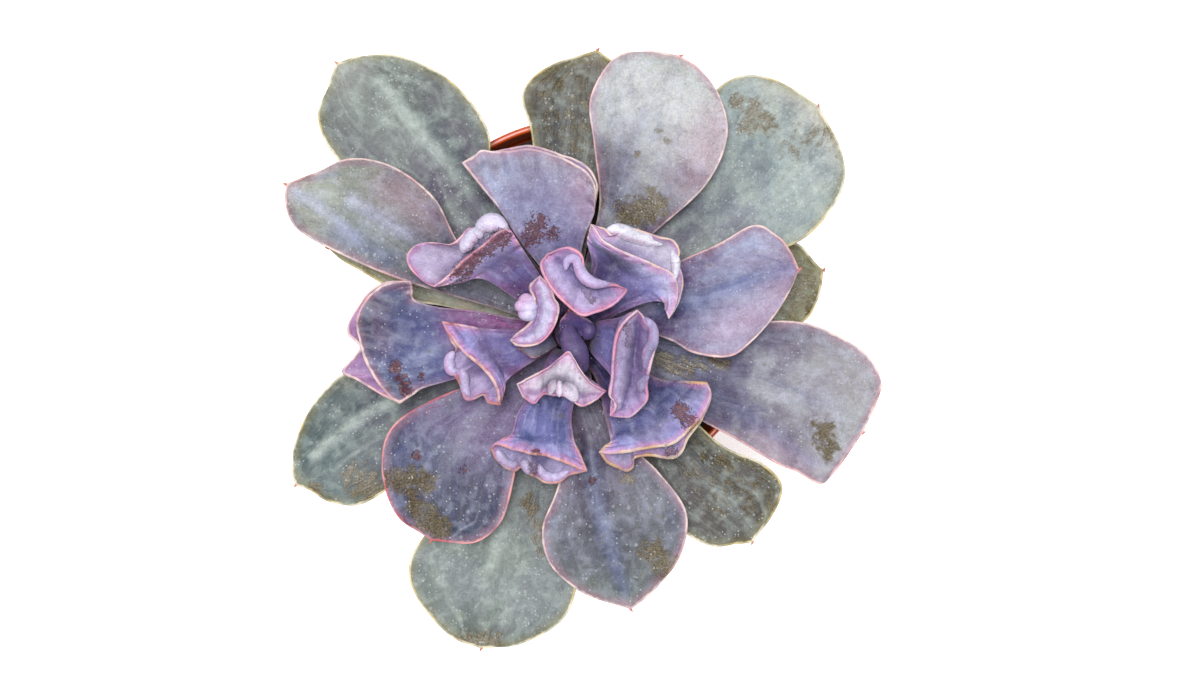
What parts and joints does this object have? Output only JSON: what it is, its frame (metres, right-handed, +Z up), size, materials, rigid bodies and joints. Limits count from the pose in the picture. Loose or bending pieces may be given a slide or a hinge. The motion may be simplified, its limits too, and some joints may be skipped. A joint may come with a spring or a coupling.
{
  "type": "potted succulent",
  "caption": "Potted trompette echeveria: an open rosette of flat grey-green leaves and lilac trumpet-shaped inner leaves on a short stem, in a terracotta-coloured plastic pot.",
  "frame": {"origin": "centre of the pot's flat underside, on the surface that the pot stands on", "axes": "+Z up along the pot's axis; the picture was taken from straight above, its right is +X and its top is +Y"},
  "size_m": [0.161, 0.1644, 0.1386],
  "materials": {
    "pot": "satin moulded plastic, terracotta colour",
    "potting_mix": "dark damp crumbly peat",
    "stem": "dull olive-brown stem skin",
    "outer_leaf": "matt grey-green leaf with a powdery bloom",
    "middle_leaf": "matt grey-purple leaf with a powdery bloom and pink margin",
    "trumpet_leaf": "matt lilac leaf with a powdery bloom and pink to cream lips"
  },
  "bodies": {
    "root": {"pot": "pot", "potting_mix": "potting_mix", "stem": "stem", "outer_leaf_1": "outer_leaf", "outer_leaf_2": "outer_leaf", "outer_leaf_3": "outer_leaf", "outer_leaf_4": "outer_leaf", "outer_leaf_5": "outer_leaf", "outer_leaf_6": "outer_leaf", "outer_leaf_7": "outer_leaf", "outer_leaf_8": "outer_leaf", "middle_leaf_1": "middle_leaf", "middle_leaf_2": "middle_leaf", "middle_leaf_3": "middle_leaf", "middle_leaf_4": "middle_leaf", "middle_leaf_5": "middle_leaf", "middle_leaf_6": "middle_leaf", "flared_leaf_1": "middle_leaf", "flared_leaf_2": "middle_leaf", "trumpet_leaf_1": "trumpet_leaf", "trumpet_leaf_2": "trumpet_leaf", "trumpet_leaf_3": "trumpet_leaf", "trumpet_leaf_4": "trumpet_leaf", "trumpet_leaf_5": "trumpet_leaf", "inner_trumpet_1": "trumpet_leaf", "inner_trumpet_2": "trumpet_leaf", "inner_trumpet_3": "trumpet_leaf", "inner_trumpet_4": "trumpet_leaf", "heart_leaf_1": "trumpet_leaf", "heart_leaf_2": "trumpet_leaf"}
  },
  "joints": []
}
